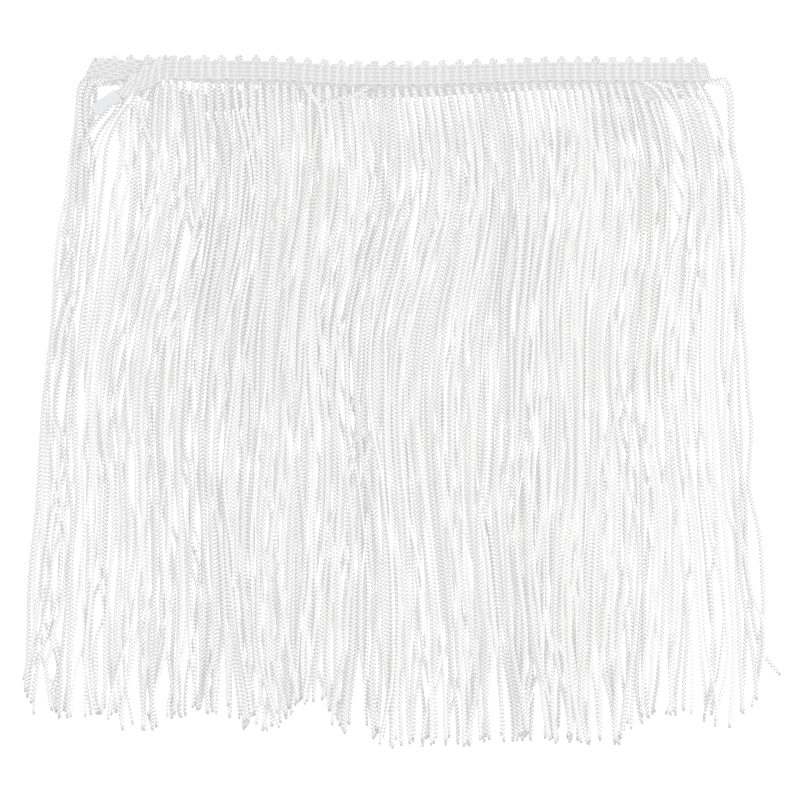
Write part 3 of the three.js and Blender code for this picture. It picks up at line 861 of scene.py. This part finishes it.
def fringe(name, node, order, seed):
    """The cords of one layer, laid in a shuffled order. The way up turns about each cord: the
    angle's cosine of straight up and its sine of sideways."""
    mine = np.flatnonzero(layer == order)
    rand = np.random.default_rng(seed)
    lines = cord_lines[mine]
    z = np.zeros(lines.shape[:2])
    size = rand.uniform(THINNEST, WIDEST, (len(mine), 1))
    for i in rand.permutation(len(mine)):
        z[i] = lay(lines[i], foot[mine[i], 2], CORD_WIDE * size[i, 0], CORD_FLAT)
    lines = np.concatenate([lines, z[..., None]], -1)
    angle = turned(len(mine), rand)
    along = unit(np.gradient(lines, axis=1))
    side = unit(np.cross(along, [0, 0, 1.0]))
    up = np.cross(side, along)
    ups = np.cos(angle)[..., None] * up + np.sin(angle)[..., None] * side
    piece = tubes(name, lines, ups, CORD_WIDE * size, CORD_FLAT, sides=10, groove=0.15)
    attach(piece, "root")
    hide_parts(node)
    return piece


raise_band(SECOND_FOLD, BAND_LENGTH, 1.6)
cords_bottom = fringe("cords_bottom", "fringe_bottom", 0, 31)
raise_band(FIRST_FOLD, SECOND_FOLD, 0.1)
cords_middle = fringe("cords_middle", "fringe_middle", 1, 52)
raise_band(0, FIRST_FOLD, 1.6)
cords_top = fringe("cords_top", "fringe_top", 2, 73)
print(f"the heap is {heap.max():.1f} mm high")

# %% [markdown]
# ## Shader sums as Python
#
# Each finish is a small sum over the surface. A wrapper round a socket lets the sum be written
# as it would be on paper, and every plus or times adds its Math node.

# %% Shader sums, materials and blends
def math_node(operation):
    """A method that sends a Wire, and what it is joined with, through one Math node."""
    return lambda wire, *others: wire.math(operation, *others)


class Wire:
    """A shader socket. Sums and products with it add Math nodes."""

    def __init__(self, tree, socket):
        self.tree, self.socket = tree, socket

    def node(self, kind, settings=(), **inputs):
        """Adds a node, its settings first and then its sockets by name or place, as values or
        links."""
        made = self.tree.nodes.new(kind)
        for key, value in dict(settings).items():
            setattr(made, key, value)
        for key, value in inputs.items():
            spot = made.inputs[int(key[1:]) if key[1:].isdigit() else key.replace("_", " ")]
            if isinstance(value, Wire):
                self.tree.links.new(value.socket, spot)
            else:
                spot.default_value = value
        return made

    def math(self, operation, *others):
        inputs = {f"i{k}": v for k, v in enumerate((self, *others))}
        made = self.node("ShaderNodeMath", {"operation": operation}, **inputs)
        return Wire(self.tree, made.outputs[0])

    __add__ = __radd__ = math_node("ADD")
    __mul__ = __rmul__ = math_node("MULTIPLY")
    __sub__, __pow__ = math_node("SUBTRACT"), math_node("POWER")
    __abs__, sin = math_node("ABSOLUTE"), math_node("SINE")

    def __rsub__(self, other):
        return (self * -1.0) + other

    def clamp(self):
        return self.math("MAXIMUM", 0.0).math("MINIMUM", 1.0)


def material(name, roughness, sheen, specular=0.3):
    """A Principled material with its constant sockets set, and a Wire to start sums from."""
    made = bpy.data.materials.new(name)
    made.use_nodes = True
    shader = made.node_tree.nodes["Principled BSDF"]
    shader.inputs["Roughness"].default_value = roughness
    shader.inputs["Sheen Weight"].default_value = sheen
    shader.inputs["Sheen Roughness"].default_value = 0.4
    shader.inputs["Specular IOR Level"].default_value = specular
    print("finish:", name)
    return made, shader, Wire(made.node_tree, None)


def blend(start, factor, low, high):
    """A colour between two colours: the factor's share of the high one, the rest of the low."""
    mix = start.node("ShaderNodeMix", {"data_type": "RGBA"}, i0=factor, i6=(*low, 1),
                     i7=(*high, 1))
    return Wire(start.tree, mix.outputs[2])


def attribute(start, name):
    """The number of that name that each piece's mesh carries."""
    made = start.node("ShaderNodeAttribute", {"attribute_name": name})
    return Wire(start.tree, made.outputs["Fac"])


def stitches(start):
    """The UV map's two numbers, which the piece's mesh carries."""
    uv = start.node("ShaderNodeUVMap", {"uv_map": "stitches"})
    split = start.node("ShaderNodeSeparateXYZ", (), Vector=Wire(start.tree, uv.outputs[0]))
    return (Wire(start.tree, split.outputs[k]) for k in (0, 1))


def finish(start, shader, colour, height, strength, distance, glow=0.0):
    """Joins a colour and a bump to the shader, and sets its white glow."""
    start.tree.links.new(colour.socket, shader.inputs["Base Color"])
    bump = start.node("ShaderNodeBump", (), Strength=strength, Distance=distance, Height=height)
    start.tree.links.new(bump.outputs[0], shader.inputs["Normal"])
    shader.inputs["Emission Color"].default_value = (1, 1, 1, 1)
    shader.inputs["Emission Strength"].default_value = glow


print(len(bpy.data.materials), "materials so far")

# %% [markdown]
# ## The chainette's stitches
#
# A chainette is a tiny knitted tube, and each side shows a column of V stitches. Stripes that
# climb away from the middle of the face give the legs of the Vs. The two sides are half a
# stitch apart, and each cord starts at its own place in the row. The grooves between stitches
# are narrow and low, and painted shade darkens them, more so on some cords than on others.
# Light also comes through the yarn from the table and the cords around it, which a faint
# painted glow stands in for; the glow also lifts the shade between the cords.

# %% Chainette finish
TURN = 2 * np.pi


def yarn(name, light, dark, depth, glow, slope=0.5):
    """A groove is a sharpened sine of the length along plus the slope times the way from the
    middle of the face. It fades by the square of the distance from its column's middle. The
    shade is 1 less the groove, the middle line and the cord's tone, and darker at a cut end;
    the groove and the middle line are painted shade in the hollows between stitches and columns."""
    made, shader, start = material(name, 0.6, 0.25)
    around, along = stitches(start)
    tone, cut = (attribute(start, key) for key in ("tone", "cut"))
    side = (around * TURN).math("COSINE")
    column = abs(side)
    along = along + tone * 40 + side.math("GREATER_THAN", 0.0) * 0.5
    groove = ((along + column * slope) * TURN).sin() * 0.5 + 0.5
    off_column = abs(column - 0.55) * 1.9
    groove = (groove ** 2.2) * (1 - (off_column * off_column).clamp() * 0.75)
    middle = 1 - (column * 3.5).clamp()
    ply = ((along * 3 - column * slope * 9) * TURN).sin() * 0.5 + 0.5
    height = 1 - groove - middle * 0.4 + ply * 0.1
    # Painted shade: the grooves between stitches and the middle line between the two columns are
    # darkened in the colour, the grooves more on cords of high tone.
    shade = (1 - groove * (tone * 0.4 + 0.6) - middle * 0.2 - tone * 0.1).clamp()
    colour = blend(start, shade * (1 - cut * 0.8), dark, light)
    finish(start, shader, colour, height, 1.0, depth, glow)
    return made


# The dark colours are what the painted groove shade and the darker cut ends blend towards.
CORD_LIGHT, CORD_DARK = (0.86, 0.86, 0.858), (0.33, 0.33, 0.33)
# The ribs, chain stitches and back floats are the same white yarn as the fringe. Their greyer
# colours are painted shade for the heading, and their stronger glow is painted light that lifts the
# parts hidden under other layers.
RIB_LIGHT, RIB_DARK = (0.64, 0.64, 0.64), (0.26, 0.26, 0.26)
THREAD_LIGHT, THREAD_DARK = (0.7, 0.7, 0.7), (0.58, 0.58, 0.58)
# Each glow is painted light: it stands in for light through the yarn and lifts the shade between
# cords.
chainette = yarn("white_chainette", CORD_LIGHT, CORD_DARK, 0.00022, glow=0.19)
rib_yarn = yarn("rib_chainette", RIB_LIGHT, RIB_DARK, 0.00018, glow=0.29)
thread = yarn("stitch_thread", THREAD_LIGHT, THREAD_DARK, 0.00005, glow=0.26)
for piece in (cords_bottom, cords_middle, cords_top):
    piece.data.materials.append(chainette)
heading_ribs.data.materials.append(rib_yarn)
chain_stitches.data.materials.append(thread)
back_floats.data.materials.append(thread)

# %% [markdown]
# ## The ground's finish
#
# The ground is the same yarn in small, flat, level stitches. It is thin and lies in the shade
# of the ribs, so its base colour is painted dark for that shade, and most of its grey comes
# from a strong painted glow that stands in for light through it.

# %% Ground finish
# Both loop tones are painted dark for the shade under the ribs.
GROUND_LIGHT, GROUND_DARK = (0.19, 0.19, 0.19), (0.15, 0.15, 0.15)


def ground_finish():
    """The loops are the product of two sines, sixteen turns across the band and 2.2 turns to a
    stitch's length along it."""
    made, shader, start = material("knitted_ground", 0.7, 0.2)
    across, along = stitches(start)
    loops = ((across * 16) * TURN).sin() * 0.5 * ((along * 2.2) * TURN).sin() + 0.5
    colour = blend(start, loops.clamp(), GROUND_DARK, GROUND_LIGHT)
    # The 0.54 glow is painted light, which gives the shaded ground an even grey.
    finish(start, shader, colour, loops, 0.6, 0.0001, 0.54)
    return made


heading_ground.data.materials.append(ground_finish())

# %% [markdown]
# ## The tape on the cut end
#
# Clear tape is wrapped round the heading's cut end to stop it from fraying. The CAD sleeve has
# the right shape and place, so it stays and gets a glossy, slightly grey, clear finish.

# %% Tape finish
TAPE_LIGHT, TAPE_DARK = (0.92, 0.93, 0.94), (0.84, 0.85, 0.86)


def tape_finish():
    """Fine noise on the object's own coordinates gives wrinkles and a faint change of grey."""
    made, shader, start = material("clear_tape", 0.22, 0.0, specular=0.5)
    place = start.node("ShaderNodeTexCoord")
    noise = start.node("ShaderNodeTexNoise", (), Vector=Wire(start.tree, place.outputs["Object"]),
                       Scale=420.0, Detail=2.0)
    wrinkle = Wire(start.tree, noise.outputs[0])
    shader.inputs["Alpha"].default_value = 0.75
    finish(start, shader, blend(start, wrinkle, TAPE_DARK, TAPE_LIGHT), wrinkle, 0.5, 0.0003)
    return made


end_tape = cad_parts["end_tape"]
end_tape.data.materials.clear()
end_tape.data.materials.append(tape_finish())

# %% [markdown]
# ## The table, the light and the camera
#
# The trim lies on a plain white table under broad soft light, with the camera straight above.
# The table glows faintly, so that soft shadows on it stay near white.

# %% Table
TABLE_HALF, TABLE_LEVEL = 2.5, -0.0002


def flat_square(name, half, z):
    """A level square: its four corners are half a side from the middle."""
    mesh = bpy.data.meshes.new(name)
    corners = [(-half, -half, z), (half, -half, z), (half, half, z), (-half, half, z)]
    mesh.from_pydata(corners, [], [(0, 1, 2, 3)])
    return placed(name, mesh)


table_top = flat_square("table_top", TABLE_HALF, TABLE_LEVEL)
table_white, table_shader, _ = material("table_white", 0.9, 0.0, specular=0.0)
table_shader.inputs["Base Color"].default_value = (0.25, 0.25, 0.25, 1)
table_shader.inputs["Emission Color"].default_value = (1, 1, 1, 1)
table_shader.inputs["Emission Strength"].default_value = 0.94
table_top.data.materials.append(table_white)

# %% Light
world = bpy.data.worlds.new("soft_room")
world.use_nodes = True
sky = world.node_tree.nodes["Background"].inputs
sky[0].default_value, sky[1].default_value = (1, 1, 1, 1), 0.95
bpy.context.scene.world = world


def area_light(name, place, size, watts):
    """A square lamp that looks at the middle of the trim: it tips by the angle between its
    level distance and its height, and then turns towards the middle."""
    data = bpy.data.lights.new(name, "AREA")
    data.size, data.energy = size, watts
    lamp = placed(name, data)
    lamp.location = place
    x, y, z = place
    lamp.rotation_euler = (np.arctan2(np.hypot(x, y), z), 0, np.arctan2(x, -y))


area_light("key_light", (0.75, -0.55, 0.95), 0.5, 3.6)
bpy.context.scene.view_settings.view_transform = "Standard"
print("lights:", [light.name for light in bpy.data.lights])

# %% Camera
FRAME_WIDTH, MIDDLE = 0.364, (-0.00045, 0.00045)
camera_data = bpy.data.cameras.new("camera")
camera_data.lens, camera_data.sensor_width = 85, 36
camera = placed("camera", camera_data)
camera.location = (*MIDDLE, FRAME_WIDTH * camera_data.lens / camera_data.sensor_width)
bpy.context.scene.camera = camera
print(f"the camera is {camera.location.z:.2f} m above the table")
